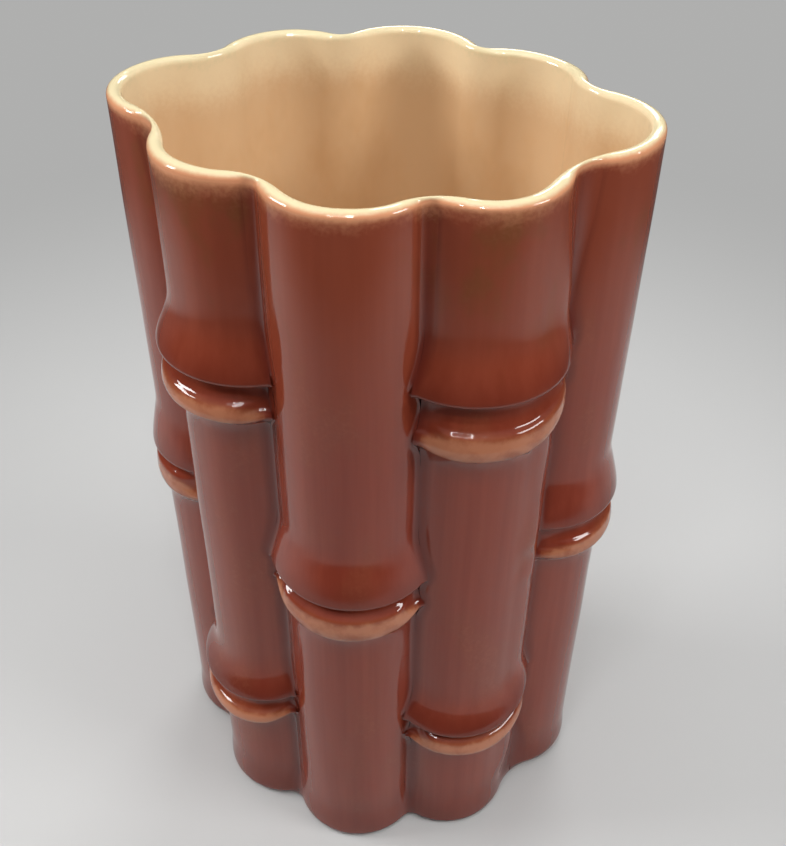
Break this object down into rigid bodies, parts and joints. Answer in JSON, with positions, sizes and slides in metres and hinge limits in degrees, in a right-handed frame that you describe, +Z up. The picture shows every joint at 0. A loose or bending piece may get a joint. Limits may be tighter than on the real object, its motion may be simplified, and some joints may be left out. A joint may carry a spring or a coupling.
{
  "type": "bamboo vase",
  "caption": "Oval glazed ceramic flower vase moulded as a bundle of bamboo culms with collared nodes, a scalloped rounded rim and a cream inside.",
  "frame": {"origin": "centre of the oval footprint, on the plane the vase stands on", "axes": "+Z up along the culms, X along the oval's long side, -Y towards the front of the picture"},
  "size_m": [0.1446, 0.119, 0.24],
  "materials": {
    "red_glaze": "gloss",
    "tan_glaze": "gloss",
    "cream_glaze": "gloss",
    "bare_clay": "matte"
  },
  "bodies": {
    "root": {"inner_vessel": "cream_glaze", "foot_ring": "bare_clay", "front_centre_foot_internode": "red_glaze", "front_centre_collar": "tan_glaze", "front_centre_top_internode": "red_glaze", "front_right_foot_internode": "red_glaze", "front_right_lower_collar": "tan_glaze", "front_right_middle_internode": "red_glaze", "front_right_upper_collar": "tan_glaze", "front_right_top_internode": "red_glaze", "right_end_foot_internode": "red_glaze", "right_end_collar": "tan_glaze", "right_end_top_internode": "red_glaze", "back_right_foot_internode": "red_glaze", "back_right_lower_collar": "tan_glaze", "back_right_middle_internode": "red_glaze", "back_right_upper_collar": "tan_glaze", "back_right_top_internode": "red_glaze", "back_centre_foot_internode": "red_glaze", "back_centre_collar": "tan_glaze", "back_centre_top_internode": "red_glaze", "back_left_foot_internode": "red_glaze", "back_left_lower_collar": "tan_glaze", "back_left_middle_internode": "red_glaze", "back_left_upper_collar": "tan_glaze", "back_left_top_internode": "red_glaze", "left_end_foot_internode": "red_glaze", "left_end_collar": "tan_glaze", "left_end_top_internode": "red_glaze", "front_left_foot_internode": "red_glaze", "front_left_lower_collar": "tan_glaze", "front_left_middle_internode": "red_glaze", "front_left_upper_collar": "tan_glaze", "front_left_top_internode": "red_glaze"}
  },
  "joints": []
}
